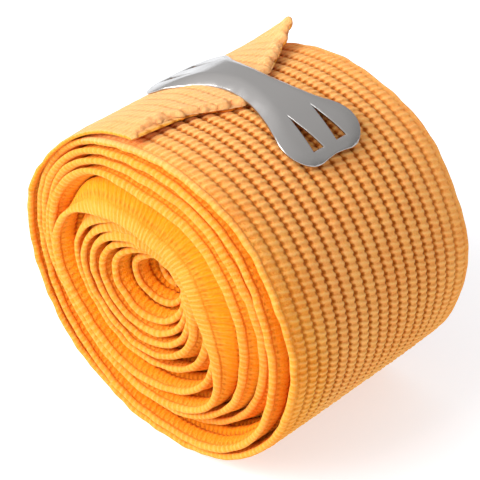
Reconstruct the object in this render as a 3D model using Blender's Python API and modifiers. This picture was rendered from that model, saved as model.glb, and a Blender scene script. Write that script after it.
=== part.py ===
"""A crepe bandage roll: a loosely wound elastic bandage 50 mm wide, its free end and a metal clip.

Millimetres in the tables, metres in the meshes. The roll's axis is +Y and its near face looks along -Y.
Angles are seen from the near face, anticlockwise about the eye of the roll, with 90 at the top.
The outermost turn starts at the cut end on top and runs down the left side.
"""

import math

import bmesh
import bpy
import numpy as np
from mathutils import Vector

MM = 0.001
CLOTH_WIDTH = 50.0
CLOTH_THICKNESS = 1.8
JOIN_GAP = 0.45
EYE_X = -2.22
EYE_Y = 1.4
EYE_Z = 36.05
STEP_ANGLE = 10.0
JOIN_ANGLE = 168.0
INNER_END_ANGLE = 4590.0

# Centre-line radius of each turn about the eye, from the outermost inwards
TURN_COLUMNS = ("upper_left", "left", "lower_left", "bottom", "lower_right", "right", "upper_right", "top")
LEAD_RADII = (37.8, 35.25)
TURN_RADII = (
    (33.2, 35.2, 35.7, 36.0, 37.6, 39.6, 37.4, 32.4),
    (30.2, 31.9, 33.0, 32.4, 34.9, 36.0, 34.6, 29.8),
    (28.0, 29.6, 30.7, 29.8, 30.6, 32.9, 31.6, 27.2),
    (25.8, 27.4, 28.4, 27.4, 27.8, 29.9, 29.0, 24.7),
    (23.4, 25.2, 26.0, 24.6, 25.2, 23.4, 23.4, 20.9),
    (20.6, 23.0, 23.4, 21.6, 21.6, 20.4, 20.0, 18.4),
    (18.0, 20.6, 20.4, 18.4, 18.5, 17.9, 17.3, 15.7),
    (15.4, 18.2, 17.6, 16.0, 15.6, 15.4, 14.6, 12.5),
    (12.8, 15.4, 14.8, 13.6, 13.0, 12.9, 11.6, 9.6),
    (10.2, 12.4, 12.2, 11.0, 10.4, 10.2, 8.8, 7.0),
    (7.6, 9.6, 9.4, 8.4, 8.0, 7.6, 6.3, 4.5),
    (5.0, 6.9, 6.7, 5.8, 5.4, 5.1, 3.9, 2.0),
    (2.6, 4.2, 4.1, 3.3, 3.0, 2.8, 2.6, 2.4),
)
# How far each turn is pushed towards the near side
PUSH_COLUMNS = ("left", "bottom", "right", "top")
LEAD_PUSH = 0.0
TURN_PUSHES = (
    (0.0, 0.0, 0.0, 0.0),
    (-2.5, 0.8, 1.2, 0.4),
    (0.0, -2.5, 0.8, 1.4),
    (-1.5, 1.9, 3.8, 1.9),
    (2.2, 2.1, 6.2, 4.2),
    (2.4, 1.7, 3.4, 2.7),
    (1.9, -0.3, 3.0, 2.9),
    (1.6, 0.3, 4.0, 4.8),
    (1.1, 0.8, 3.2, 4.2),
    (0.8, -0.3, 2.0, 3.0),
    (0.0, -2.0, 1.0, 2.0),
    (-2.0, -3.0, 0.0, 1.0),
    (-3.0, -3.0, 0.0, 0.0),
)

# The cut edge of the free end: distance across the width, angle of the edge, lift off the roll
CUT_COLUMNS = ("across", "angle", "lift")
CUT_EDGE = (
    (-25.0, 85.5, 0.2),
    (-18.0, 89.0, 0.4),
    (-4.0, 80.0, 0.0),
    (8.5, 86.5, 0.2),
    (18.0, 96.0, 1.0),
    (25.0, 102.0, 3.4),
)
LIFT_SPAN_ANGLE = 28.0
FREE_END_STATIONS = 18
FREE_END_ROWS = 12

# The clip: half outline from the waist to the tip, along the roll and across it
CLIP_THICKNESS = 0.5
CLIP_WAIST_ANGLE = 88.0
CLIP_CENTRE_Y = 4.6
CLIP_SKEW = 0.03
OUTLINE_COLUMNS = ("along", "half_width")
CLIP_OUTLINE = (
    (0.0, 4.8),
    (4.0, 5.1),
    (8.0, 6.3),
    (12.0, 8.0),
    (15.5, 9.0),
    (18.5, 9.25),
    (21.5, 8.6),
    (23.9, 6.6),
    (24.9, 4.4),
    (24.6, 2.0),
    (24.4, 0.0),
)
SLOT_AXIS = 3.0
SLOT_BASE = 22.2
SLOT_LENGTH = 8.5
SLOT_WIDTH = 2.6
TOOTH_WIDTH = 2.0
TOOTH_THICKNESS = 0.5
TOOTH_DEPTH = 1.3
POCKET_DEPTH = 1.9
POCKET_GAP = 0.35
# Radius of the clip's underside about the eye, by angle
CLIP_SEAT_COLUMNS = ("angle", "radius")
CLIP_SEAT = (
    (30.0, 40.2),
    (46.0, 38.75),
    (54.0, 37.95),
    (62.0, 37.45),
    (70.0, 37.3),
    (80.0, 37.2),
    (88.0, 36.85),
    (98.0, 36.3),
    (110.0, 35.6),
    (122.0, 35.05),
    (134.0, 34.9),
    (150.0, 35.3),
)


def spline(knots, t):
    """A smooth curve through values at 0, 1, 2 and so on."""
    last = len(knots) - 1
    i = min(max(int(math.floor(t)), 0), last - 1)
    f = t - i
    before, start, end, after = (knots[min(max(i + k, 0), last)] for k in (-1, 0, 1, 2))
    bend = 2 * before - 5 * start + 4 * end - after
    twist = 3 * (start - end) + after - before
    return start + 0.5 * f * (end - before + f * (bend + f * twist))


RADIUS_KNOTS = list(LEAD_RADII) + [radius for row in TURN_RADII for radius in row]
PUSH_KNOTS = [LEAD_PUSH] + [push for row in TURN_PUSHES for push in row]


def turn_radius(angle):
    return spline(RADIUS_KNOTS, (angle - 45.0) / 45.0)


def turn_push(angle):
    return spline(PUSH_KNOTS, (angle - 90.0) / 90.0)


def between(table, value, column):
    """Straight-line reading of a table whose first column rises."""
    return float(np.interp(value, [row[0] for row in table], [row[column] for row in table]))


def around_eye(angle, radius, across):
    """The point in metres at this angle and radius about the eye, and this far across the width."""
    turn = math.radians(angle)
    height = EYE_Z + radius * math.sin(turn)
    return Vector((EYE_X + radius * math.cos(turn), EYE_Y + across, height)) * MM


def material(name, colour, roughness, metallic):
    made = bpy.data.materials.new(name)
    made.use_nodes = True
    shader = made.node_tree.nodes["Principled BSDF"]
    shader.inputs["Base Color"].default_value = (*colour, 1.0)
    shader.inputs["Roughness"].default_value = roughness
    shader.inputs["Metallic"].default_value = metallic
    return made


def mesh_object(name, bm, collection, surface=None):
    bmesh.ops.recalc_face_normals(bm, faces=bm.faces)
    mesh = bpy.data.meshes.new(name)
    bm.to_mesh(mesh)
    bm.free()
    made = bpy.data.objects.new(name, mesh)
    collection.objects.link(made)
    if surface:
        mesh.materials.append(surface)
    return made


def cloth_sheet(name, stations, rows, place, collection, surface):
    """A grid mapped by place(along, across), both 0 to 1, and thickened to the cloth's thickness."""
    bm = bmesh.new()
    bmesh.ops.create_grid(bm, x_segments=stations, y_segments=rows, size=0.5)
    for vert in bm.verts:
        vert.co = place(vert.co.x + 0.5, vert.co.y + 0.5)
    sheet = mesh_object(name, bm, collection, surface)
    thicken = sheet.modifiers.new("cloth thickness", "SOLIDIFY")
    thicken.thickness = CLOTH_THICKNESS * MM
    thicken.offset = 0.0
    thicken.use_even_offset = True
    return sheet


def wound_turns(collection, surface):
    """The wound strip, from the foot of the free end to the inner end in the eye."""
    lowest = CLOTH_THICKNESS / 2

    def place(along, across):
        angle = start + along * (INNER_END_ANGLE - start)
        side = (across - 0.5) * CLOTH_WIDTH - turn_push(angle)
        point = around_eye(angle, turn_radius(angle), side)
        point.z = max(point.z, lowest * MM)
        return point

    gap_angle = math.degrees(JOIN_GAP / turn_radius(JOIN_ANGLE))
    start = JOIN_ANGLE + gap_angle
    stations = round((INNER_END_ANGLE - start) / STEP_ANGLE)
    return cloth_sheet("bandage_roll", stations, 1, place, collection, surface)


def free_end(collection, surface):
    """The last stretch over the top, with its uneven cut edge and lifted far corner."""

    def place(along, across):
        side = (across - 0.5) * CLOTH_WIDTH
        edge = between(CUT_EDGE, side, 1)
        angle = JOIN_ANGLE + along * (edge - JOIN_ANGLE)
        free = max(0.0, 1.0 - (angle - edge) / LIFT_SPAN_ANGLE)
        lift = between(CUT_EDGE, side, 2) * free * free
        return around_eye(angle, turn_radius(angle) + lift, side - turn_push(angle))

    return cloth_sheet("free_end", FREE_END_STATIONS, FREE_END_ROWS, place, collection, surface)


def clip_seat_line():
    """Points and outward directions along the clip's underside, from the left end to the right."""
    angles = np.arange(150.0, 29.0, -1.0)
    points = []
    for angle in angles:
        radius = between(CLIP_SEAT, angle, 1)
        points.append(around_eye(angle, radius, 0.0))
    lengths = [0.0]
    for first, second in zip(points, points[1:]):
        lengths.append(lengths[-1] + (second - first).length / MM)
    waist = lengths[int(np.argmin(abs(angles - CLIP_WAIST_ANGLE)))]
    return points, [length - waist for length in lengths]


def on_clip(point, seat):
    """Bends a flat point, in mm along, across and above the underside, onto the roll."""
    points, lengths = seat
    here = [float(np.interp(point.x, lengths, [p[axis] for p in points])) for axis in range(3)]
    ahead = [float(np.interp(point.x + 2.0, lengths, [p[axis] for p in points])) for axis in range(3)]
    behind = [float(np.interp(point.x - 2.0, lengths, [p[axis] for p in points])) for axis in range(3)]
    along = (Vector(ahead) - Vector(behind)).normalized()
    outward = Vector((-along.z, 0.0, along.x))
    side = CLIP_CENTRE_Y + point.y - CLIP_SKEW * point.x
    return Vector(here) + Vector((0.0, side, 0.0)) * MM + outward * point.z * MM


def slot_places():
    """End of the clip, 1 for the right and -1 for the left, and side of its centre line."""
    return [(end, side) for end in (1, -1) for side in (1, -1)]


def clip_outline():
    """The whole outline, and the four slots, in flat millimetres."""
    quarter = list(CLIP_OUTLINE)
    right = quarter + [(along, -half) for along, half in reversed(quarter[:-1])]
    left = [(-along, half) for along, half in reversed(right[1:-1])]
    outline = right + [(along, half) for along, half in left]
    slots = []
    for end, side in slot_places():
        axis = side * SLOT_AXIS
        base = SLOT_BASE * end
        apex = (SLOT_BASE - SLOT_LENGTH) * end
        slots.append([(base, axis - SLOT_WIDTH / 2), (base, axis + SLOT_WIDTH / 2), (apex, axis)])
    return outline, slots


def bar(bm, centre, size):
    """Adds a box of this size in flat millimetres and returns its points."""
    made = bmesh.ops.create_cube(bm, size=1.0)["verts"]
    for vert in made:
        vert.co = Vector([c + s * k for c, s, k in zip(centre, size, vert.co)])
    return made


def clip(collection, cutters, surface):
    """The stamped plate is a filled flat outline, cut into short strips and bent over the roll."""
    seat = clip_seat_line()
    outline, slots = clip_outline()
    flat = bpy.data.curves.new("clip outline", "CURVE")
    flat.dimensions = "2D"
    flat.fill_mode = "BOTH"
    flat.extrude = CLIP_THICKNESS / 2
    for loop in [outline] + slots:
        line = flat.splines.new("POLY")
        line.points.add(len(loop) - 1)
        for point, (along, across) in zip(line.points, loop):
            point.co = (along, across, 0.0, 1.0)
        line.use_cyclic_u = True
    drawing = bpy.data.objects.new("clip drawing", flat)
    cutters.objects.link(drawing)
    drawing.hide_render = True
    bpy.context.view_layer.update()
    stamped = bpy.data.meshes.new_from_object(drawing.evaluated_get(bpy.context.evaluated_depsgraph_get()))
    bm = bmesh.new()
    bm.from_mesh(stamped)
    bmesh.ops.remove_doubles(bm, verts=bm.verts, dist=0.001)
    for along in range(-24, 25, 3):
        every = bm.verts[:] + bm.edges[:] + bm.faces[:]
        bmesh.ops.bisect_plane(bm, geom=every, dist=0.001, plane_co=(along, 0, 0), plane_no=(1, 0, 0))
    bmesh.ops.triangulate(bm, faces=bm.faces)
    for vert in bm.verts:
        vert.co = on_clip(vert.co + Vector((0.0, 0.0, CLIP_THICKNESS / 2)), seat)
    plate = mesh_object("clip", bm, collection, surface)
    bpy.data.objects.remove(drawing)

    for number, (end, side) in enumerate(slot_places()):
        bm = bmesh.new()
        centre = ((SLOT_BASE + TOOTH_THICKNESS / 2 - 0.1) * end, side * SLOT_AXIS, CLIP_THICKNESS / 2 - TOOTH_DEPTH / 2)
        size = (TOOTH_THICKNESS, TOOTH_WIDTH, TOOTH_DEPTH)
        for vert in bar(bm, centre, size):
            narrow = 0.35 if vert.co.z < centre[2] else 1.0
            vert.co.y = centre[1] + (vert.co.y - centre[1]) * narrow
            vert.co = on_clip(vert.co, seat)
        tooth = mesh_object(f"tooth shape {number + 1}", bm, cutters)
        union = plate.modifiers.new(f"tooth {number + 1}", "BOOLEAN")
        union.operation = "UNION"
        union.solver = "EXACT"
        union.object = tooth
    return plate, seat


def pierce(cloth, seat, end, cutters):
    """Cuts the two pockets where the teeth of one end of the clip bite."""
    for place, side in slot_places():
        if place != end:
            continue
        bm = bmesh.new()
        centre = ((SLOT_BASE + TOOTH_THICKNESS / 2 - 0.1) * end, side * SLOT_AXIS, 0.5 - POCKET_DEPTH / 2)
        size = (TOOTH_THICKNESS + 2 * POCKET_GAP, TOOTH_WIDTH + 2 * POCKET_GAP, POCKET_DEPTH)
        for vert in bar(bm, centre, size):
            vert.co = on_clip(vert.co, seat)
        pocket = mesh_object(f"pocket {cloth.name} {side}", bm, cutters)
        cut = cloth.modifiers.new(f"pocket {side}", "BOOLEAN")
        cut.operation = "DIFFERENCE"
        cut.solver = "EXACT"
        cut.object = pocket


def main():
    for old in list(bpy.data.objects):
        bpy.data.objects.remove(old)
    parts = bpy.data.collections.new("crepe bandage roll")
    cutters = bpy.data.collections.new("cutters")
    cutters.hide_render = True
    for made in (parts, cutters):
        bpy.context.scene.collection.children.link(made)

    crepe = material("elastic crepe", (0.65, 0.23, 0.045), 0.9, 0.0)
    steel = material("polished steel", (0.55, 0.48, 0.45), 0.25, 1.0)
    roll = wound_turns(parts, crepe)
    loose = free_end(parts, crepe)
    plate, seat = clip(parts, cutters, steel)
    pierce(roll, seat, 1, cutters)
    pierce(loose, seat, -1, cutters)
    for helper in cutters.objects:
        helper.hide_render = True
        helper.display_type = "WIRE"


main()
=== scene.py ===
# %% [markdown]
# # A crepe bandage roll
# An elastic crepe bandage is a long ribbed strip of cloth, wound up loosely so that it can be unrolled
# round a wrist or an ankle. The cut end is held down on top by a small stamped metal clip.
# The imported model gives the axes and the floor, and the pieces below replace its plain solids.

# %% Frame
import math
from functools import partial

import bmesh
import bpy
import numpy as np
from mathutils import Matrix, Vector


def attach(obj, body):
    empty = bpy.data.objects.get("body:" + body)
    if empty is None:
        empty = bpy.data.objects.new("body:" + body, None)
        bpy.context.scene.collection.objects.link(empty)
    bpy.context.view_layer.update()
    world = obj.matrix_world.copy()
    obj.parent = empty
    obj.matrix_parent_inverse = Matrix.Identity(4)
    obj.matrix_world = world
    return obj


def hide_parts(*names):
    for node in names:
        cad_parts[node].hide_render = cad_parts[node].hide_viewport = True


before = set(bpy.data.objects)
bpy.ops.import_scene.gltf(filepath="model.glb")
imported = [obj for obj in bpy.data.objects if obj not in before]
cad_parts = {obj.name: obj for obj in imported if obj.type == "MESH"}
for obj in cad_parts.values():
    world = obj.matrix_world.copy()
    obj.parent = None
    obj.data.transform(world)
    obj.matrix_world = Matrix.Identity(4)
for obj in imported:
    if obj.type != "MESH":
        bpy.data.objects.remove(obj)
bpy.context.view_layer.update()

# %% [markdown]
# ## The winding
# The real roll is one wound strip. A cloth simulation could wind it, but a dozen turns that all touch
# would be slow and hard to steer. It is easier to describe the strip by its centre line, seen from the end of
# the roll. For each turn, from the outside inwards, one row gives the distance from the eye of the roll in
# eight directions, in millimetres. A second table gives the same for the near edge, which leans. A third says
# how far each turn has slipped out towards the near side, or back in where the number is negative. A smooth
# curve is drawn through the numbers. Such tables are quick to adjust by eye, turn by turn.

# %% Tables of the turns
MM = 0.001
CLOTH_WIDTH = 50.0
CLOTH_THICKNESS = 1.7
EYE_X = -2.22
EYE_Y = 1.4
EYE_Z = 36.05
TOP_ANGLE = 90.0
JOIN_ANGLE = 168.0
INNER_END_ANGLE = 4590.0

RADIUS_STEP_ANGLE = 45.0
# columns: upper_left, left, lower_left, bottom, lower_right, right, upper_right, top
LEAD_RADII = (37.8, 35.25)
TURN_RADII = (
    (33.2, 35.2, 35.7, 36.0, 37.6, 39.6, 37.4, 32.4),
    (30.8, 32.6, 33.0, 33.2, 34.9, 36.0, 34.6, 30.0),
    (28.8, 30.3, 30.7, 30.6, 31.6, 32.9, 31.6, 27.8),
    (26.8, 28.3, 28.4, 28.2, 28.8, 29.9, 29.0, 25.4),
    (24.9, 26.3, 26.2, 25.8, 26.0, 25.4, 24.8, 23.0),
    (23.0, 24.2, 23.9, 23.2, 22.8, 22.6, 22.2, 21.2),
    (20.8, 21.4, 21.0, 20.2, 19.8, 19.6, 19.2, 18.2),
    (17.6, 18.4, 18.0, 17.0, 16.2, 15.8, 15.2, 14.4),
    (14.0, 15.4, 15.0, 14.0, 13.2, 12.9, 11.8, 11.0),
    (11.0, 12.6, 12.2, 11.2, 10.4, 10.2, 9.0, 8.2),
    (8.2, 9.8, 9.4, 8.4, 8.0, 7.6, 6.4, 5.6),
    (5.6, 7.0, 6.7, 5.8, 5.4, 5.1, 3.9, 3.2),
    (3.0, 4.2, 4.1, 3.3, 3.0, 2.8, 2.2, 2.0),
)
# the near edge of the same turns: sunk inwards on the right and at the top, mostly flared out on the left
NEAR_RADII = (
    (33.2, 35.2, 35.7, 36.0, 37.6, 39.6, 37.4, 31.6),
    (31.5, 33.2, 33.6, 33.4, 35.6, 35.0, 33.8, 29.2),
    (29.9, 31.4, 31.6, 31.2, 30.8, 30.0, 28.4, 26.2),
    (28.2, 29.7, 29.7, 29.1, 28.2, 27.0, 25.4, 22.8),
    (26.4, 28.1, 27.9, 27.0, 25.8, 17.4, 15.0, 13.8),
    (17.4, 26.4, 25.4, 24.0, 21.6, 15.2, 13.0, 11.8),
    (14.6, 20.6, 20.2, 19.3, 17.4, 13.0, 10.6, 9.7),
    (12.5, 18.0, 17.4, 16.2, 13.9, 10.7, 8.3, 7.8),
    (10.8, 15.6, 15.1, 14.0, 11.8, 8.8, 6.9, 6.4),
    (9.0, 13.1, 12.7, 11.7, 9.8, 7.1, 5.6, 5.2),
    (7.2, 10.5, 10.2, 9.2, 7.8, 5.5, 4.3, 3.9),
    (5.2, 7.3, 7.1, 6.3, 5.3, 3.8, 2.9, 2.5),
    (3.2, 4.5, 4.5, 3.9, 3.3, 2.3, 1.7, 1.4),
)

PUSH_STEP_ANGLE = 90.0
# columns: left, bottom, right, top
LEAD_PUSH = 0.0
TURN_PUSHES = (
    (0.0, 0.0, 0.0, 0.0),
    (-1.0, 0.3, 0.8, 0.4),
    (-0.8, -3.2, -1.6, 0.2),
    (-0.5, -1.0, 0.4, 0.6),
    (0.0, 0.4, 1.2, 1.2),
    (0.6, 0.2, -1.9, -2.1),
    (-0.4, -1.0, -2.5, -2.7),
    (0.0, -0.2, -1.7, -1.9),
    (0.0, -0.8, -2.8, -3.2),
    (-0.4, -1.2, -3.8, -4.6),
    (-1.2, -2.2, -4.9, -5.6),
    (-3.6, -5.0, -7.0, -7.8),
    (-8.0, -8.6, -9.0, -9.0),
)


# %% Curves through the tables
def spline(knots, t):
    """A smooth curve through values at 0, 1, 2 and so on."""
    knots = np.asarray(knots, float)
    i = np.clip(np.floor(t).astype(int), 0, len(knots) - 2)
    f = t - i
    before, start, end, after = (knots[np.clip(i + k, 0, len(knots) - 1)] for k in (-1, 0, 1, 2))
    bend = 2 * before - 5 * start + 4 * end - after
    twist = 3 * (start - end) + after - before
    return start + 0.5 * f * (end - before + f * (bend + f * twist))


RADIUS_KNOTS = np.concatenate([LEAD_RADII, np.ravel(TURN_RADII)])
NEAR_KNOTS = np.concatenate([LEAD_RADII, np.ravel(NEAR_RADII)])
PUSH_KNOTS = np.concatenate([[LEAD_PUSH], np.ravel(TURN_PUSHES)])


def turn_radius(angle):
    return spline(RADIUS_KNOTS, (angle - RADIUS_STEP_ANGLE) / RADIUS_STEP_ANGLE)


def near_radius(angle):
    return spline(NEAR_KNOTS, (angle - RADIUS_STEP_ANGLE) / RADIUS_STEP_ANGLE)


def turn_push(angle):
    return spline(PUSH_KNOTS, (angle - PUSH_STEP_ANGLE) / PUSH_STEP_ANGLE)


# %% [markdown]
# The near edges of the turns lean along a strip up to 8 mm deep: inwards on the right and at the top, and
# mostly a little outwards on the left. At the upper left they are folded more sharply. Inside the roll the
# turns press on each other, so the cloth is thin where they are close, and springs up to fill the room
# where they are not.

# %% Leaning edges and squeezed turns
LEAN_DEPTH = 8.0
LEAN_POWER = 1.7
FOLD_ANGLE = 138.0
FOLD_SPREAD_ANGLE = 35.0
FOLD_DEPTH = 3.5
FILL_FROM = 1.8
FILL_OVER = 4.0
THINNEST_SHARE = 0.6


def edge_lean(angle, across):
    """How far this place leans out of the body of its turn. Only a strip along the near edge leans."""
    towards_fold = (angle - FOLD_ANGLE + 180.0) % 360.0 - 180.0
    folded = np.exp(-((towards_fold / FOLD_SPREAD_ANGLE) ** 2))
    depth = LEAN_DEPTH - (LEAN_DEPTH - FOLD_DEPTH) * folded
    near = np.clip((depth - CLOTH_WIDTH / 2 - across) / depth, 0.0, 1.0)
    return (near_radius(angle) - turn_radius(angle)) * near ** LEAN_POWER


def squeeze(angle, across, height):
    """The share of its thickness that each face of the cloth keeps, from the room up to the next turn."""
    here = turn_radius(angle) + edge_lean(angle, across)
    before = turn_radius(angle - 360.0) + edge_lean(angle - 360.0, across)
    after = turn_radius(angle + 360.0) + edge_lean(angle + 360.0, across)
    room_out = np.where(angle < JOIN_ANGLE + 360.0, CLOTH_THICKNESS, before - here)
    room_in = np.where(angle > INNER_END_ANGLE - 360.0, CLOTH_THICKNESS, here - after)
    deep = np.clip((CLOTH_WIDTH / 2 - np.abs(across) - FILL_FROM) / FILL_OVER, 0.0, 1.0)
    room = np.where(height > 0.0, room_out, room_in)
    return np.clip(room / CLOTH_THICKNESS, THINNEST_SHARE, 1.0 + deep)


# %% Points on the winding
PROBE_ANGLE = 0.4


def winding_point(angle, lift=0.0):
    """x and z of the centre line, in mm. It is pressed flat where it would pass through the floor."""
    turn = np.radians(angle)
    radius = turn_radius(angle) + lift
    height = EYE_Z + radius * np.sin(turn)
    return EYE_X + radius * np.cos(turn), np.maximum(height, CLOTH_THICKNESS / 2)


def outward(angle, lift=0.0):
    """The direction across the cloth's thickness, away from the eye, as seen from the end."""
    x0, z0 = winding_point(angle - PROBE_ANGLE, lift)
    x1, z1 = winding_point(angle + PROBE_ANGLE, lift)
    length = np.hypot(x1 - x0, z1 - z0)
    return (z1 - z0) / length, (x0 - x1) / length


# %% [markdown]
# The weave must keep its real size all along the strip, so the distance walked along the cloth is added up
# once, and every later step asks for stations by that distance and not by angle.

# %% Distance along the cloth
FIRST_ANGLE = 60.0
fine_angles = np.arange(FIRST_ANGLE, INNER_END_ANGLE + 1.0, 0.5)
fine_x, fine_z = winding_point(fine_angles)
fine_along = np.concatenate([[0.0], np.cumsum(np.hypot(np.diff(fine_x), np.diff(fine_z)))])


def along_at(angle):
    return np.interp(angle, fine_angles, fine_along)


def angle_at(along):
    return np.interp(along, fine_along, fine_angles)


print("the whole strip is", round(along_at(INNER_END_ANGLE) - along_at(TOP_ANGLE)), "mm long")

# %% [markdown]
# ## Unevenness
# Nothing woven and handled is perfectly even. A few long sine waves with mixed lengths, slants and starts
# make a smooth wander that can be read anywhere and gives the same result each run.

# %% A smooth wander
def wander(along, across, length, seed):
    """Between about -1 and 1, changing over this many mm along the cloth."""
    draw = np.random.default_rng(seed)
    total = 0.0
    for _ in range(5):
        wave = 2 * np.pi / (length * draw.uniform(0.6, 1.8))
        slant = 2 * np.pi / (length * draw.uniform(1.5, 4.0)) * draw.choice([-1, 1])
        total = total + np.sin(along * wave + across * slant + draw.uniform(0, 6.28))
    return total / 3.0


# %% [markdown]
# ## The cross-section of the cloth
# Seen on its cut end the cloth is a row of round ribs, each an elastic thread wrapped in cotton, with thin
# places between them. The ribs are finer towards the selvedges, the woven edges, which end in a rounded fold.
# The ribs run the long way, so one section can be swept along the whole strip. Where the middle of a face is
# hidden in the roll, its ribs are drawn as a plain line, which saves most of the points.

# %% Section
RIB_COUNT = 17
FIRST_RIB = -22.4
RIB_PITCH = -2 * FIRST_RIB / (RIB_COUNT - 1)
GROOVE_HALF = 0.24
RIB_RISE = 0.62
RIB_STEPS = (-1.0, -0.88, -0.62, -0.3, 0.0, 0.3, 0.62, 0.88)
HIDDEN_FROM = 13.0
HIDDEN_RISE_SHARE = 0.8
EDGE_BOLDNESS = 0.55
BOLD_UP_TO = 13.0
FINE_FROM = 24.0
TAPE_HALF = 0.66
SELVEDGE_CENTRE = 24.3
SELVEDGE_RADIUS = 0.7
CAP_ANGLES = (125, 100, 75, 50, 25, 0, -25, -50, -75, -100, -125)


def rib_strength(across):
    """The ribs are bold in the middle of the cloth and get fine towards its edges."""
    bold = np.clip((FINE_FROM - np.abs(across)) / (FINE_FROM - BOLD_UP_TO), 0.0, 1.0)
    return EDGE_BOLDNESS + (1.0 - EDGE_BOLDNESS) * bold


def face_profile(full):
    """(across, half thickness) over one face, from the near selvedge to the far one."""
    points = []
    for rib in range(RIB_COUNT):
        centre = FIRST_RIB + rib * RIB_PITCH
        if not full and abs(centre) < HIDDEN_FROM:
            points.append((centre, GROOVE_HALF + HIDDEN_RISE_SHARE * RIB_RISE))
            continue
        bold = rib_strength(centre)
        for step in RIB_STEPS:
            half = GROOVE_HALF + RIB_RISE * math.sqrt(1 - step * step)
            points.append((centre + step * RIB_PITCH / 2, TAPE_HALF + bold * (half - TAPE_HALF)))
    points.append((-FIRST_RIB + RIB_PITCH / 2, TAPE_HALF))
    return points


def section(full_outside, full_inside):
    """The closed loop round the cloth: across, height off the middle, and 1 outside to -1 inside."""
    ring = []
    cap = [math.radians(a) for a in CAP_ANGLES]
    for a in cap:
        far = SELVEDGE_CENTRE + SELVEDGE_RADIUS * math.cos(a)
        ring.append((far, SELVEDGE_RADIUS * math.sin(a), math.sin(a)))
    for across, half in reversed(face_profile(full_inside)):
        ring.append((across, -half, -1.0))
    for a in reversed(cap):
        near = -SELVEDGE_CENTRE - SELVEDGE_RADIUS * math.cos(a)
        ring.append((near, SELVEDGE_RADIUS * math.sin(a), math.sin(a)))
    for across, half in face_profile(full_outside):
        ring.append((across, half, 1.0))
    return np.array(ring)


one_face = section(True, False)
edges_only = section(False, False)
print("section points:", len(one_face), "with one face in full,", len(edges_only), "for hidden turns")

# %% [markdown]
# ## Sweeping the section
# A curve with a bevel could sweep the section, but it could not lean or slip one edge on its own. A flat grid
# already has the right faces: one side runs along the strip and the other round the section. Each of its
# points is moved to its place on the winding. The first and last rows then meet and are merged, and the two
# cut ends are filled. Each point remembers where it is on the cloth, for the weave in the material.

# %% Strip builder
MERGE_DISTANCE = 0.00001


def cloth_strip(name, stations, ring, place, fade):
    """place(share along, across, height) gives x, y, z and the distance along, all in mm."""
    bm = bmesh.new()
    bmesh.ops.create_grid(bm, x_segments=stations, y_segments=len(ring), size=0.5)
    mesh = bpy.data.meshes.new(name)
    bm.to_mesh(mesh)
    bm.free()
    grid = np.empty(len(mesh.vertices) * 3, np.float32)
    mesh.vertices.foreach_get("co", grid)
    grid = grid.reshape(-1, 3).astype(float) + 0.5
    row = np.rint(grid[:, 1] * len(ring)).astype(int) % len(ring)
    across, height, side = ring[row].T
    x, y, z, along = place(grid[:, 0], across, height)
    mesh.vertices.foreach_set("co", (np.stack([x, y, z], -1) * MM).astype(np.float32).ravel())
    weave = mesh.attributes.new("weave", "FLOAT_VECTOR", "POINT")
    weave.data.foreach_set("vector", np.stack([along, across, side], -1).astype(np.float32).ravel())
    # how pale or fresh each point is; the paleness of the outer face is partly painted light
    pale_and_lit = mesh.attributes.new("fade", "FLOAT", "POINT")
    pale_and_lit.data.foreach_set("value", fade(grid[:, 0], across, side).astype(np.float32))

    bm = bmesh.new()
    bm.from_mesh(mesh)
    bmesh.ops.remove_doubles(bm, verts=bm.verts, dist=MERGE_DISTANCE)
    ends = [edge for edge in bm.edges if edge.is_boundary]
    bmesh.ops.holes_fill(bm, edges=ends, sides=0)
    bmesh.ops.recalc_face_normals(bm, faces=bm.faces)
    bm.to_mesh(mesh)
    bm.free()
    mesh.polygons.foreach_set("use_smooth", [len(p.vertices) <= 4 for p in mesh.polygons])
    piece = bpy.data.objects.new(name, mesh)
    bpy.context.scene.collection.objects.link(piece)
    print(name, "has", sum(len(p.vertices) - 2 for p in mesh.polygons), "triangles")
    return piece


# %% [markdown]
# The lengths of the strip share a few helpers. The selvedges wander to and fro, because they are looser
# than the middle. The turns have slipped, their near edges further than their far ones. And where the outer
# face shows, each rib is a row of small slanted beads, one for each loop of the weft, which catch the light.

# %% Selvedges, slip and beads
LOOSE_FROM = 14.0
MIDDLE_PUSH_SHARE = 0.65
PUSH_SHARE_SPREAD = 0.7
BEAD_PITCH = 1.45
BEAD_RISE = 0.16
BEAD_SLANT = 0.3
BEAD_STAGGER = 0.37


def edge_share(across):
    """0 in the middle of the cloth and 1 at its selvedges."""
    return np.clip((np.abs(across) - LOOSE_FROM) / (CLOTH_WIDTH / 2 - LOOSE_FROM), 0.0, 1.0) ** 2


def uneven_thickness(along, across):
    return 1.0 + 0.08 * wander(along, across, 9.0, 3)


def place_across(angle, along, across):
    """y in mm. The near edges have slipped by the whole push, and the far edges by less."""
    share = MIDDLE_PUSH_SHARE - PUSH_SHARE_SPREAD * across / CLOTH_WIDTH
    slow = 0.25 * wander(along, across * 0.05, 26.0, 8)
    quick = 0.12 * wander(along, 0.0, 5.0, 17)
    return EYE_Y + across - turn_push(angle) * share + edge_share(across) * (slow + quick)


def bead_relief(along, across, height):
    """How far the beads stand out. The inner face has none."""
    rib = (across - FIRST_RIB) / RIB_PITCH
    off = 2.0 * (rib - np.round(rib))
    phase = along / BEAD_PITCH + BEAD_STAGGER * np.round(rib) + BEAD_SLANT * off
    ribbed = (np.abs(across) < -FIRST_RIB + RIB_PITCH / 2) & (height > 0.0)
    return BEAD_RISE * rib_strength(across) * np.cos(2 * np.pi * phase) * (1.0 - off * off) * ribbed


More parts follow.
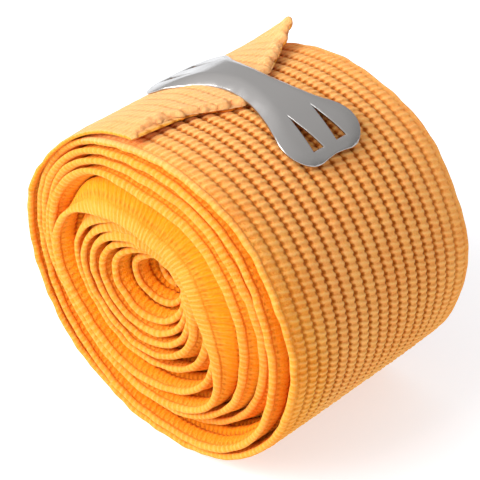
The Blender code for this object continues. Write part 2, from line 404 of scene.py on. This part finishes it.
def wound_place(start_angle, end_angle, beaded):
    """The place function for the strip between two angles of the winding."""
    start = along_at(start_angle)
    end = along_at(end_angle)

    def place(share, across, height):
        along = start + share * (end - start)
        angle = angle_at(along)
        flutter = 0.10 * edge_share(across) * wander(along, across * 0.1, 34.0, 5)
        lean = edge_lean(angle, across) + flutter
        x, z = winding_point(angle, lean)
        out_x, out_z = outward(angle, lean)
        beads = bead_relief(along, across, height) if beaded else 0.0
        height = height * squeeze(angle, across, height) * uneven_thickness(along, across) + beads
        y = place_across(angle, along, across)
        return x + out_x * height, y, np.maximum(z + out_z * height, 0.0), along

    return place


# %% [markdown]
# ## Bleaching and painted light
# Light has bleached the outside of the roll, and the cloth inside it is still a strong orange. How pale the
# outer face is changes round the roll, partly from this bleaching and partly as painted light: it is palest
# on the top of the roll and on the free end, and paler on the left than on the right, following the lamp. One
# number at each point says how far: 1 is palest, 0 is the plain cloth, and -1 is fresh cloth.

# %% Bleaching and painted light
# the near selvedges are painted paler, as a painted highlight on the edges that face the lamp
NEAR_SELVEDGE_HIGHLIGHT = -0.2
INSIDE_FADE = -1.0


def fresh_inside(across):
    """The near selvedges are a little paler than the rest: a painted highlight where they face the lamp at
    the end of the roll.
    """
    inwards = np.clip((across + 24.7) / 1.8, 0.0, 1.0)
    return NEAR_SELVEDGE_HIGHLIGHT + (INSIDE_FADE - NEAR_SELVEDGE_HIGHLIGHT) * inwards


def bleached_and_lit_outside(across, middle, edge):
    """The outer face goes from one shade at its near edge to another over the middle of the cloth."""
    inwards = np.clip((across + 24.0) / 13.0, 0.0, 1.0)
    return np.maximum(fresh_inside(across), edge + (middle - edge) * inwards)


def wound_fade_and_light(outside):
    """outside is None, or the shades at the start and the end: of the middle, and of the near edge."""
    def fade(share, across, side):
        if outside is None:
            return fresh_inside(across)
        middle, edge = (start + share * (end - start) for start, end in outside)
        return np.where(side > 0.0, bleached_and_lit_outside(across, middle, edge), fresh_inside(across))

    return fade


# %% [markdown]
# ## The wound cloth
# One strip would be too heavy as a single mesh, so it is cut into lengths: two halves of the outer turn,
# with every bead, the turns under it, and the small ones in the core. The steps along the strip are as
# short as the beads need, and longer where only the edges show.

# %% Four lengths of the strip
HALF_WAY_ANGLE = 322.0
OUTER_END_ANGLE = 480.0
CORE_ANGLE = 2250.0
OUTER_STEP = 0.36
MIDDLE_STEP = 1.5
CORE_STEP = 0.9
# how pale the outer face is, as (start, end) for its middle and then for its near edge: partly bleaching,
# partly painted light that is strongest over the top, where the lamp falls
BELOW_SHADES = ((0.5, 0.2), (0.2, -0.5))
ABOVE_SHADES = ((0.2, 0.58), (-0.5, 0.72))


def wound_length(name, start_angle, end_angle, step, ring, outside=None):
    length = along_at(end_angle) - along_at(start_angle)
    place = wound_place(start_angle, end_angle, outside is not None)
    piece = cloth_strip(name, round(length / step), ring, place, wound_fade_and_light(outside))
    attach(piece, "root")
    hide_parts("bandage_roll")
    return piece


outer_below = wound_length("outer_below", JOIN_ANGLE, HALF_WAY_ANGLE, OUTER_STEP, one_face, BELOW_SHADES)
outer_above = wound_length("outer_above", HALF_WAY_ANGLE, OUTER_END_ANGLE, OUTER_STEP, one_face, ABOVE_SHADES)
middle_turns = wound_length("middle_turns", OUTER_END_ANGLE, CORE_ANGLE, MIDDLE_STEP, edges_only)
core_turns = wound_length("core_turns", CORE_ANGLE, INNER_END_ANGLE, CORE_STEP, edges_only)

# %% [markdown]
# ## The free end
# The last few centimetres lie over the top of the roll and stop at an uneven cut. The cut edge is swollen,
# and the ribs near it are worn flat. The far corner stands up to a point. Draping a sheet would lose the
# swelling and the point, so a table gives the cut's angle and lift across the width, and the cloth between
# is drawn towards it.

# %% Free end tables
# columns: across, angle, lift
CUT_EDGE = (
    (-25.0, 91.0, 0.1),
    (-20.0, 92.5, 0.2),
    (-15.0, 91.0, 0.1),
    (-10.0, 86.5, 0.0),
    (-6.3, 83.0, -0.1),
    (-2.2, 80.5, -0.2),
    (8.5, 87.5, 0.0),
    (18.0, 96.0, 1.0),
    (25.0, 102.0, 3.6),
)
CUT_ACROSS, CUT_ANGLE, CUT_LIFT = np.array(CUT_EDGE).T
FREE_STATIONS = 140
STATION_EASE = 1.5
CUT_WANDER_ANGLE = 0.9
LIFT_SPAN_ANGLE = 28.0
WORN_SPAN_ANGLE = 18.0
WORN_FLATNESS = 0.9
FLAP_SINK = 0.9
FLAP_HALF = 0.62
MM_PER_DEGREE = 0.6
SWELLING = 0.7
SWELLING_FROM_CUT = 1.5
SWELLING_SPREAD = 1.3
CORNER_THINNING = 0.4
TIP_LENGTH = 1.0


# %% Free end
def free_place(share, across, height):
    """The place function for the free end, from the join to the cut."""
    edge = np.interp(across, CUT_ACROSS, CUT_ANGLE)
    edge = edge + CUT_WANDER_ANGLE * wander(across * 3.0, across, 9.0, 21)
    angle = JOIN_ANGLE + (1.0 - (1.0 - share) ** STATION_EASE) * (edge - JOIN_ANGLE)
    free = np.clip(1.0 - (angle - edge) / LIFT_SPAN_ANGLE, 0.0, 1.0)
    worn = np.clip((JOIN_ANGLE - angle) / WORN_SPAN_ANGLE, 0.0, 1.0)
    lift = np.interp(across, CUT_ACROSS, CUT_LIFT) * free * free - FLAP_SINK * worn

    to_edge = (angle - edge) * MM_PER_DEGREE
    from_corner = np.clip((across + 24.5) / 5.0, 0.0, 1.0)
    swollen = np.exp(-((to_edge - SWELLING_FROM_CUT) / SWELLING_SPREAD) ** 2)
    thick = 1.0 + SWELLING * from_corner * swollen
    thick = thick * (1.0 - CORNER_THINNING * worn * (1.0 - from_corner))
    from_tip = np.minimum(to_edge / TIP_LENGTH, 1.0)
    tip = np.sqrt(np.clip(1.0 - (1.0 - from_tip) ** 2, 0.03, 1.0))

    along = along_at(angle)
    x, z = winding_point(angle, lift)
    out_x, out_z = outward(angle, lift)
    beads = bead_relief(along, across, height) * (1.0 - worn)
    flat = np.clip(2.0 * height, -FLAP_HALF, FLAP_HALF)
    height = height + WORN_FLATNESS * worn * (flat - height)
    height = height * thick * tip * uneven_thickness(along, across) + beads
    return x + out_x * height, place_across(angle, along, across), z + out_z * height, along


def free_fade_and_light(share, across, side):
    """The upper face is the palest of all, from edge to edge, partly as painted light from the lamp above,
    and the lower one is fresh.
    """
    worn = np.clip(3.0 * share, 0.0, 1.0)
    upper = bleached_and_lit_outside(across, 0.5 + 0.33 * worn, 0.2 + 0.63 * worn)
    return np.where(side > 0.0, upper, -0.7)


free_end_cloth = cloth_strip("free_end_cloth", FREE_STATIONS, one_face, free_place, free_fade_and_light)
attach(free_end_cloth, "root")
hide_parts("free_end")

# %% [markdown]
# ## The clip
# The clip is stamped from thin sheet steel: a waisted plate with rounded ends and two pointed slots at each
# end. The cut-out tongues of the slots are bent down as teeth that bite into the cloth. A box could be cut
# to shape with Booleans, but a filled flat curve gives the plate, its holes and its rounded rims in one go.
# The plate is then sliced both ways, so that it can follow the roll, and bent. The seat table gives its
# distance from the eye of the roll.

# %% Clip tables
CLIP_THICKNESS = 0.5
CLIP_RIM = 0.2
CLIP_WAIST_ANGLE = 88.0
CLIP_CENTRE_Y = 4.2
CLIP_SHIFT = 0.6
CLIP_TURN = -0.02
CLIP_LIFT = 0.5
CLIP_ROLL_DROP = 1.7
CLIP_ROLL_WIDTH = 3.1
WAIST_HALF_LENGTH = 10.0
WAIST_FADES_OVER = 8.0
LOBE_SHARE = 0.25
# columns: along, half_width
CLIP_OUTLINE = (
    (0.0, 4.5),
    (4.0, 4.8),
    (8.0, 5.6),
    (12.0, 6.9),
    (15.5, 8.4),
    (18.5, 9.3),
    (21.5, 8.8),
    (24.0, 6.8),
    (24.9, 4.4),
    (24.6, 2.0),
    (24.4, 0.0),
)
# up to the furthest point the outline only goes outwards, so its half width can be looked up there
RIM_ALONG, RIM_HALF_WIDTH = np.array(CLIP_OUTLINE[:9]).T
SLOT_AXIS = 3.0
SLOT_BASE = 22.2
SLOT_LENGTH = 8.5
SLOT_WIDTH = 2.6
# columns: angle, radius
CLIP_SEAT = (
    (30.0, 40.6),
    (46.0, 39.2),
    (54.0, 38.8),
    (62.0, 38.2),
    (70.0, 37.4),
    (80.0, 36.5),
    (88.0, 36.0),
    (98.0, 35.2),
    (110.0, 34.2),
    (122.0, 33.6),
    (134.0, 34.3),
    (150.0, 36.8),
)


# %% Clip outline
def smooth_outline(points, per_gap):
    """More points on a smooth curve through the given ones."""
    t = np.linspace(0, len(points) - 1, (len(points) - 1) * per_gap + 1)
    x, y = np.array(points).T
    return list(zip(spline(x, t), spline(y, t)))


def clip_loops():
    """The outline, from one quarter and its reflections, and the four slots."""
    quarter = smooth_outline(CLIP_OUTLINE, 4)
    right = quarter + [(along, -half) for along, half in reversed(quarter[:-1])]
    left = [(-along, half) for along, half in reversed(right[1:-1])]
    loops = [right + left]
    for end in (1, -1):
        for side in (1, -1):
            axis = side * SLOT_AXIS
            base = SLOT_BASE * end
            apex = (SLOT_BASE - SLOT_LENGTH) * end
            loops.append([(base, axis - SLOT_WIDTH / 2), (base, axis + SLOT_WIDTH / 2), (apex, axis)])
    return loops


# %% Clip seat
SEAT_PROBE = 1.5
seat_angles = np.arange(150.0, 29.0, -0.5)
seat_table = np.array(CLIP_SEAT)
seat_rows = np.interp(seat_angles, seat_table[:, 0], np.arange(len(seat_table)))
seat_radius = spline(seat_table[:, 1], seat_rows)
seat_x = EYE_X + seat_radius * np.cos(np.radians(seat_angles))
seat_z = EYE_Z + seat_radius * np.sin(np.radians(seat_angles))
seat_along = np.concatenate([[0.0], np.cumsum(np.hypot(np.diff(seat_x), np.diff(seat_z)))])
seat_along = seat_along - np.interp(-CLIP_WAIST_ANGLE, -seat_angles, seat_along)


def seat_point(along):
    return np.interp(along, seat_along, seat_x), np.interp(along, seat_along, seat_z)


def bend_onto_roll(bm):
    """Moves flat points (along, across, height) in mm to their place on the roll, in metres."""
    for vert in bm.verts:
        flat_along, flat_across, height = vert.co
        along = flat_along - CLIP_TURN * flat_across + CLIP_SHIFT
        across = flat_across + CLIP_TURN * flat_along
        x, z = seat_point(along)
        ahead_x, ahead_z = seat_point(along + SEAT_PROBE)
        back_x, back_z = seat_point(along - SEAT_PROBE)
        run = Vector((ahead_x - back_x, 0.0, ahead_z - back_z)).normalized()
        out = Vector((-run.z, 0.0, run.x))
        from_rim = np.interp(abs(flat_along), RIM_ALONG, RIM_HALF_WIDTH) - abs(flat_across)
        near_rim = min(max(1.0 - from_rim / CLIP_ROLL_WIDTH, 0.0), 1.0)
        waist = 1.0 - (abs(flat_along) - WAIST_HALF_LENGTH) / WAIST_FADES_OVER
        waist = min(max(waist, LOBE_SHARE), 1.0)
        height = height + CLIP_LIFT * waist - CLIP_ROLL_DROP * waist * near_rim ** 2
        vert.co = (Vector((x, CLIP_CENTRE_Y + across, z)) + out * height) * MM


# %% Clip plate
FLAT_MERGE = 0.0005
ALONG_SLICES = np.arange(-24.0, 24.5, 1.0)
ACROSS_SLICES = np.arange(-8.8, 9.0, 0.55)


def clip_plate():
    """The flat plate in mm, filled, rounded at its rims and sliced both ways."""
    flat = bpy.data.curves.new("clip outline", "CURVE")
    flat.dimensions = "2D"
    flat.fill_mode = "BOTH"
    flat.extrude = CLIP_THICKNESS / 2 - CLIP_RIM
    flat.bevel_depth = CLIP_RIM
    flat.bevel_resolution = 2
    flat.offset = -CLIP_RIM
    for loop in clip_loops():
        line = flat.splines.new("POLY")
        line.points.add(len(loop) - 1)
        for point, (along, across) in zip(line.points, loop):
            point.co = (along, across, 0.0, 1.0)
        line.use_cyclic_u = True
    drawing = bpy.data.objects.new("clip drawing", flat)
    bpy.context.scene.collection.objects.link(drawing)
    bpy.context.view_layer.update()
    graph = bpy.context.evaluated_depsgraph_get()
    mesh = bpy.data.meshes.new_from_object(drawing.evaluated_get(graph))
    bpy.data.objects.remove(drawing)
    bm = bmesh.new()
    bm.from_mesh(mesh)
    bmesh.ops.remove_doubles(bm, verts=bm.verts, dist=FLAT_MERGE)
    for along in ALONG_SLICES:
        every = bm.verts[:] + bm.edges[:] + bm.faces[:]
        bmesh.ops.bisect_plane(bm, geom=every, dist=FLAT_MERGE, plane_co=(along, 0, 0), plane_no=(1, 0, 0))
    for across in ACROSS_SLICES:
        every = bm.verts[:] + bm.edges[:] + bm.faces[:]
        bmesh.ops.bisect_plane(bm, geom=every, dist=FLAT_MERGE, plane_co=(0, across, 0), plane_no=(0, 1, 0))
    bmesh.ops.translate(bm, verts=bm.verts, vec=(0, 0, CLIP_THICKNESS / 2))
    return bm


# %% Teeth
TOOTH_THICKNESS = 0.4
TOOTH_WIDTH = 2.1
TOOTH_TIP_SHARE = 0.25
TOOTH_FROM_BASE = 0.15
TOOTH_SLANT = 0.5
TOOTH_TOP = 0.3
TOOTH_BOTTOM = -1.3


def add_tooth(bm, end, side):
    """A pointed tongue, bent down at the slot's base."""
    made = bmesh.ops.create_cube(bm, size=1.0)["verts"]
    for vert in made:
        at_tip = vert.co.z < 0
        width = TOOTH_WIDTH * (TOOTH_TIP_SHARE if at_tip else 1.0)
        slant = TOOTH_SLANT if at_tip else 0.0
        along = SLOT_BASE + TOOTH_FROM_BASE + vert.co.x * TOOTH_THICKNESS - slant
        across = side * SLOT_AXIS + vert.co.y * width
        vert.co = (along * end, across, TOOTH_BOTTOM if at_tip else TOOTH_TOP)


bm = clip_plate()
for end in (1, -1):
    for side in (1, -1):
        add_tooth(bm, end, side)
bend_onto_roll(bm)
bmesh.ops.recalc_face_normals(bm, faces=bm.faces)
clip_mesh = bpy.data.meshes.new("clip_plate")
bm.to_mesh(clip_mesh)
bm.free()
for polygon in clip_mesh.polygons:
    polygon.use_smooth = True
clip_mesh.set_sharp_from_angle(angle=math.radians(40))
clip_piece = bpy.data.objects.new("clip_plate", clip_mesh)
bpy.context.scene.collection.objects.link(clip_piece)
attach(clip_piece, "root")
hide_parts("clip")
print("clip_plate has", len(clip_mesh.polygons), "faces")

# %% [markdown]
# ## Materials
# Colours are written as the hex values that a picture editor shows, and one function turns them to the
# linear values that the shader needs. One small function adds a node, sets it, links it and gives its output.

# %% Colour and node helpers
def colour(hex_code):
    """An sRGB hex colour as linear red, green, blue and alpha."""
    channels = [int(hex_code[i:i + 2], 16) / 255 for i in (1, 3, 5)]
    linear = [c / 12.92 if c <= 0.04045 else ((c + 0.055) / 1.055) ** 2.4 for c in channels]
    return (*linear, 1.0)


def node(tree, kind, *values, output=0, stops=(), inputs=(), **settings):
    """Adds a node and returns one of its outputs.

    The values go to its inputs in order, and inputs maps a socket's name or number to one. A value may be
    another node's output. Stops are the two (position, grey or hex colour) of a colour ramp."""
    made = tree.nodes.new("ShaderNode" + kind)
    for key, value in settings.items():
        setattr(made, key, value)
    for socket, value in [*enumerate(values), *dict(inputs).items()]:
        if isinstance(value, bpy.types.NodeSocket):
            tree.links.new(value, made.inputs[socket])
        else:
            made.inputs[socket].default_value = value
    for number, (position, value) in enumerate(stops):
        element = made.color_ramp.elements[number]
        element.position = position
        element.color = colour(value) if isinstance(value, str) else (value, value, value, 1.0)
    return made.outputs[output]


def new_material(name):
    made = bpy.data.materials.new(name)
    made.use_nodes = True
    return made, made.node_tree, made.node_tree.nodes["Principled BSDF"]


# %% [markdown]
# ### Elastic crepe
# Cotton crepe over elastic threads, woven and left unfinished, so it is matt and slightly hairy. Each rib is
# a row of small beads, where the weft loops over the elastic. The top of each bead is painted lighter, as a
# painted highlight, and the gaps between the ribs are painted darker, as painted shade along the grooves and
# a dark dot beside each bead. Brick or wave textures could draw this, but they would not stay in step with
# the beads in the mesh. So the pattern is worked out from the same place on the cloth, in millimetres: 2.8 mm
# from rib to rib and 1.45 mm from bead to bead. The noise is counted per millimetre too. The weave wobbles
# over about 1 mm and the dye is patchy over about 9 mm. The fibres are drawn 0.3 mm apart, coarser than real
# ones, so that they show.

# %% Weave pattern
WOBBLES_PER_MM = 0.9
PATCHES_PER_MM = 0.11
FIBRES_PER_MM = 3.2


def weave_pattern(tree):
    """The node outputs that say where on the weave a place is, by name."""
    add = partial(node, tree)
    place = add("Attribute", output="Vector", attribute_name="weave")
    along, across, side = add("SeparateXYZ", place).node.outputs
    wobble = add("TexNoise", inputs={"Vector": place, "Scale": WOBBLES_PER_MM, "Detail": 2.0})
    wobble = add("Math", wobble, 0.5, operation="SUBTRACT")

    ribs = add("Math", across, FIRST_RIB, operation="SUBTRACT")
    ribs = add("Math", ribs, RIB_PITCH, operation="DIVIDE")
    ribs = add("Math", wobble, 0.12, ribs, operation="MULTIPLY_ADD")
    rib_number = add("Math", ribs, operation="ROUND")
    from_rib = add("Math", ribs, rib_number, operation="SUBTRACT")
    from_rib = add("Math", from_rib, 2.0, operation="MULTIPLY")
    rib_edge = add("Math", from_rib, operation="ABSOLUTE")

    beads = add("Math", along, BEAD_PITCH, operation="DIVIDE")
    beads = add("Math", rib_number, BEAD_STAGGER, beads, operation="MULTIPLY_ADD")
    beads = add("Math", from_rib, BEAD_SLANT, beads, operation="MULTIPLY_ADD")
    beads = add("Math", wobble, 0.3, beads, operation="MULTIPLY_ADD")
    beads = add("Math", beads, 2 * math.pi, operation="MULTIPLY")
    beads = add("Math", beads, operation="COSINE")
    bead = add("Math", beads, 0.5, 0.5, operation="MULTIPLY_ADD")

    from_middle = add("Math", across, operation="ABSOLUTE")
    bold = add("MapRange", from_middle, FINE_FROM, BOLD_UP_TO, EDGE_BOLDNESS, 1.0)
    ribbed = add("MapRange", from_middle, 23.8, 23.4, 0.0, 1.0)
    ribbed = add("Math", ribbed, bold, operation="MULTIPLY")
    # where shade is painted: along the grooves between the ribs, and as a dark dot in the gap beside each
    # bead
    zigzag = add("Math", 0.5, bead, operation="SUBTRACT")
    zigzag = add("Math", zigzag, 0.25, rib_edge, operation="MULTIPLY_ADD")
    groove_shade = add("ValToRGB", zigzag, stops=((0.55, 0.0), (0.9, 1.0)))
    gap = add("ValToRGB", bead, stops=((0.15, 1.0), (0.6, 0.0)))
    dot_shade = add("Math", groove_shade, gap, operation="MULTIPLY")
    dot_shade = add("Math", dot_shade, ribbed, operation="MULTIPLY")
    return {
        "place": place, "along": along, "side": side, "wobble": wobble, "from_middle": from_middle,
        "rib_edge": rib_edge, "bead": bead, "ribbed": ribbed, "groove_shade": groove_shade, "dot_shade": dot_shade,
    }


# %% [markdown]
# Near the selvedges the weft turns back, so pale slanted yarns show there, with darker gaps between them. A
# cosine along the cloth draws the yarns, and a stretched noise breaks them up.

# %% Yarns near the selvedges
def edge_yarns(tree, weave):
    """Where the yarns are, a stroke-like noise along them, and how much of both shows."""
    add = partial(node, tree)
    on_edge = add("MapRange", weave["from_middle"], 18.0, 23.6, 0.0, 0.7)
    slanted = add("Math", weave["along"], 8.0, operation="MULTIPLY")
    slanted = add("Math", weave["side"], 2.0, slanted, operation="MULTIPLY_ADD")
    slanted = add("Math", weave["wobble"], 9.0, slanted, operation="MULTIPLY_ADD")
    yarn = add("Math", slanted, operation="COSINE")
    yarn = add("Math", yarn, 0.5, 0.5, operation="MULTIPLY_ADD")
    stretched = add("VectorMath", weave["place"], (1.5, 0.2, 0.0), operation="MULTIPLY")
    strokes = add("TexNoise", inputs={"Vector": stretched, "Scale": 1.0, "Detail": 2.0})
    yarn = add("Math", yarn, strokes, operation="MULTIPLY")
    yarn = add("Math", yarn, on_edge, operation="MULTIPLY")
    return yarn, strokes, on_edge


# %% Crepe colour
def crepe_colour(tree, weave, edge, fade, bleached_and_lit, fibres):
    """The dye, then one layer of colour after another, some of them painted light and shade, and the fibres
    over them all.
    """
    add = partial(node, tree)
    yarn, strokes, on_edge = edge
    patches = add("TexNoise", inputs={"Vector": weave["place"], "Scale": PATCHES_PER_MM, "Detail": 3.0})
    base = add("ValToRGB", patches, stops=((0.3, "#F7922C"), (0.7, "#FCA340")))

    on_rib = add("Math", 1.0, weave["groove_shade"], operation="SUBTRACT")
    # painted highlight: the top of each bead on a rib is painted lighter
    bead_highlight = add("ValToRGB", weave["bead"], stops=((0.4, 0.0), (1.0, 0.7)))
    bead_highlight = add("Math", on_rib, bead_highlight, operation="MULTIPLY")
    # the outer face is painted paler: partly bleaching, partly painted light where the lamp falls
    pale_and_lit = add("Math", bleached_and_lit, 0.75, operation="MULTIPLY")
    fresh = add("Math", fade, -0.9, operation="MULTIPLY")
    fresh = add("Math", fresh, 0.0, operation="MAXIMUM")
    # painted shade in the grooves and dots, weaker where the outer face is painted paler
    crisp = add("ValToRGB", bleached_and_lit, stops=((0.6, 1.0), (0.8, 0.12)))
    crisp = add("Math", weave["ribbed"], crisp, operation="MULTIPLY")
    groove_shade = add("Math", weave["groove_shade"], crisp, operation="MULTIPLY")
    groove_shade = add("Math", groove_shade, 0.8, operation="MULTIPLY")
    dot_shade = add("Math", weave["dot_shade"], crisp, operation="MULTIPLY")
    dot_shade = add("Math", dot_shade, 0.7, operation="MULTIPLY")
    pale_yarn = add("Math", yarn, 0.6, operation="MULTIPLY")
    yarn_gap = add("ValToRGB", strokes, stops=((0.3, 0.5), (0.55, 0.0)))
    yarn_gap = add("Math", yarn_gap, on_edge, operation="MULTIPLY")

    layers = (
        (bead_highlight, "#FDB766"),
        (pale_and_lit, "#F6B684"),
        (fresh, "#FA8C00"),
        (groove_shade, "#C5640C"),
        (dot_shade, "#8F3C00"),
        (pale_yarn, "#FFB050"),
        (yarn_gap, "#E8740A"),
    )
    for share, hex_code in layers:
        base = add("Mix", inputs={0: share, 6: base, 7: colour(hex_code)}, output=2, data_type="RGBA")
    hairs = add("ValToRGB", fibres, stops=((0.3, 0.4), (0.7, 0.9)))
    over = {0: 0.25, 6: base, 7: hairs}
    return add("Mix", inputs=over, output=2, data_type="RGBA", blend_type="OVERLAY")


# %% Crepe relief
RELIEF_DEPTH = 0.00038


def crepe_relief(tree, weave, edge, bleached_and_lit, fibres):
    """The fine bumps on the cloth: beads, sunken dots, fibres and edge yarns. Worn cloth is smoother."""
    add = partial(node, tree)
    yarn, strokes, on_edge = edge
    height = add("Math", weave["bead"], 0.5, operation="SUBTRACT")
    rib_top = add("Math", weave["rib_edge"], -0.6, 1.0, operation="MULTIPLY_ADD")
    height = add("Math", height, rib_top, operation="MULTIPLY")
    height = add("Math", height, weave["ribbed"], operation="MULTIPLY")
    height = add("Math", weave["dot_shade"], -0.8, height, operation="MULTIPLY_ADD")
    height = add("Math", fibres, 0.8, height, operation="MULTIPLY_ADD")
    yarns = add("Math", yarn, strokes, operation="ADD")
    yarn_share = add("Math", on_edge, 0.45, operation="MULTIPLY")
    height = add("Math", yarns, yarn_share, height, operation="MULTIPLY_ADD")
    unworn = add("Math", bleached_and_lit, -0.6, 1.0, operation="MULTIPLY_ADD")
    height = add("Math", height, unworn, operation="MULTIPLY")
    return add("Bump", inputs={"Strength": 0.9, "Distance": RELIEF_DEPTH, "Height": height})


# %% Crepe material
CREPE_FINISH = {
    "Roughness": 0.92,
    "Specular IOR Level": 0.06,
    "Subsurface Weight": 0.35,
    "Subsurface Radius": (1.0, 0.7, 0.4),
    "Subsurface Scale": 0.0012,
    "Sheen Weight": 0.02,
    "Sheen Roughness": 0.5,
}


def crepe_material():
    made, tree, shader = new_material("woven elastic cotton crepe")
    weave = weave_pattern(tree)
    edge = edge_yarns(tree, weave)
    fade = node(tree, "Attribute", output="Fac", attribute_name="fade")
    # the paler outer face: partly bleaching, partly painted light
    bleached_and_lit = node(tree, "Math", fade, 0.0, operation="MAXIMUM")
    fibres = node(tree, "TexNoise", inputs={"Vector": weave["place"], "Scale": FIBRES_PER_MM, "Detail": 4.0})
    tree.links.new(crepe_colour(tree, weave, edge, fade, bleached_and_lit, fibres), shader.inputs["Base Color"])
    tree.links.new(crepe_relief(tree, weave, edge, bleached_and_lit, fibres), shader.inputs["Normal"])
    for socket, value in CREPE_FINISH.items():
        shader.inputs[socket].default_value = value
    print(made.name, "has", len(tree.nodes), "nodes")
    return made


crepe = crepe_material()
for piece in (outer_below, outer_above, middle_turns, core_turns, free_end_cloth):
    piece.data.materials.append(crepe)

# %% [markdown]
# ### Polished steel
# Nickel-plated spring steel, stamped and tumbled smooth: it mirrors its surroundings, slightly blurred. The
# tumbling leaves the polish a little uneven, over about 4 mm.

# %% Steel material
SMEARS_PER_METRE = 260.0


def steel_material():
    made, tree, shader = new_material("nickel-plated polished steel")
    place = node(tree, "TexCoord", output="Object")
    smear = node(tree, "TexNoise", inputs={"Vector": place, "Scale": SMEARS_PER_METRE, "Detail": 2.0})
    roughness = node(tree, "ValToRGB", smear, stops=((0.3, 0.16), (0.7, 0.26)))
    tree.links.new(roughness, shader.inputs["Roughness"])
    shader.inputs["Base Color"].default_value = colour("#B6B3B1")
    shader.inputs["Metallic"].default_value = 1.0
    return made


clip_mesh.materials.append(steel_material())

# %% [markdown]
# ## Floor, light and camera
# A pale floor that glows a little and a bright room keep the shadows soft. One large lamp in front of the
# near end, to the left and above, gives it and the top more light than the right side.

# %% Floor
bm = bmesh.new()
bmesh.ops.create_grid(bm, x_segments=1, y_segments=1, size=1.5)
floor_mesh = bpy.data.meshes.new("studio_floor")
bm.to_mesh(floor_mesh)
bm.free()
floor = bpy.data.objects.new("studio_floor", floor_mesh)
bpy.context.scene.collection.objects.link(floor)
paper, _, paper_shader = new_material("white paper")
paper_shader.inputs["Base Color"].default_value = colour("#CACDD2")
paper_shader.inputs["Roughness"].default_value = 0.95
paper_shader.inputs["Emission Color"].default_value = (1.0, 1.0, 1.0, 1.0)
paper_shader.inputs["Emission Strength"].default_value = 0.54
floor_mesh.materials.append(paper)

# %% Light
BRIGHTEST_DIRECTION = (-0.55, -0.50, 0.67)
world = bpy.data.worlds.new("bright room")
bpy.context.scene.world = world
world.use_nodes = True
room = world.node_tree
where = node(room, "TexCoord", output="Generated")
towards = node(room, "VectorMath", where, BRIGHTEST_DIRECTION, output="Value", operation="DOT_PRODUCT")
share = node(room, "Math", towards, 0.5, 0.5, operation="MULTIPLY_ADD")
glow = node(room, "ValToRGB", share, stops=((0.1, 0.30), (0.95, 0.95)))
room.links.new(glow, room.nodes["Background"].inputs["Color"])
room.nodes["Background"].inputs["Strength"].default_value = 0.95
bpy.context.scene.view_settings.view_transform = "Standard"

SOFTBOX_PLACE = Vector((-0.25, -0.66, 0.62))
SOFTBOX_TARGET = Vector((0.0, 0.0, 0.035))
lamp = bpy.data.lights.new("key softbox", "AREA")
lamp.shape = "SQUARE"
lamp.size = 0.6
lamp.energy = 8.8
softbox = bpy.data.objects.new("key softbox", lamp)
bpy.context.scene.collection.objects.link(softbox)
facing = (SOFTBOX_TARGET - SOFTBOX_PLACE).to_track_quat("-Z", "Y").to_matrix().to_4x4()
softbox.matrix_world = Matrix.Translation(SOFTBOX_PLACE) @ facing

# %% [markdown]
# The camera looks down on the near end of the roll from the right. Its angles, distance and lens put the
# roll's outline where the photograph has it, and its small shift frames the roll as the photograph does.

# %% Camera
CAMERA_AZIMUTH = 45.61
CAMERA_ELEVATION = 36.52
CAMERA_ROLL = -1.09
CAMERA_DISTANCE = 346.4
CAMERA_LENS = 128.93
CAMERA_SHIFT = (-0.0110, 0.0104)
AIM = Vector((0.78, 1.4, 35.05)) * MM

azimuth, elevation, roll = (math.radians(v) for v in (CAMERA_AZIMUTH, CAMERA_ELEVATION, CAMERA_ROLL))
level = math.cos(elevation)
back = Vector((math.sin(azimuth) * level, -math.cos(azimuth) * level, math.sin(elevation)))
right = Vector((math.cos(azimuth), math.sin(azimuth), 0.0))
up = back.cross(right)
turned_right = math.cos(roll) * right + math.sin(roll) * up
turned_up = -math.sin(roll) * right + math.cos(roll) * up
lens = bpy.data.cameras.new("camera")
lens.lens = CAMERA_LENS
lens.sensor_width = 36.0
lens.shift_x, lens.shift_y = CAMERA_SHIFT
lens.clip_start = 0.01
camera = bpy.data.objects.new("camera", lens)
bpy.context.scene.collection.objects.link(camera)
turn = Matrix((turned_right, turned_up, back)).transposed().to_4x4()
camera.matrix_world = Matrix.Translation(AIM + back * CAMERA_DISTANCE * MM) @ turn
bpy.context.scene.camera = camera
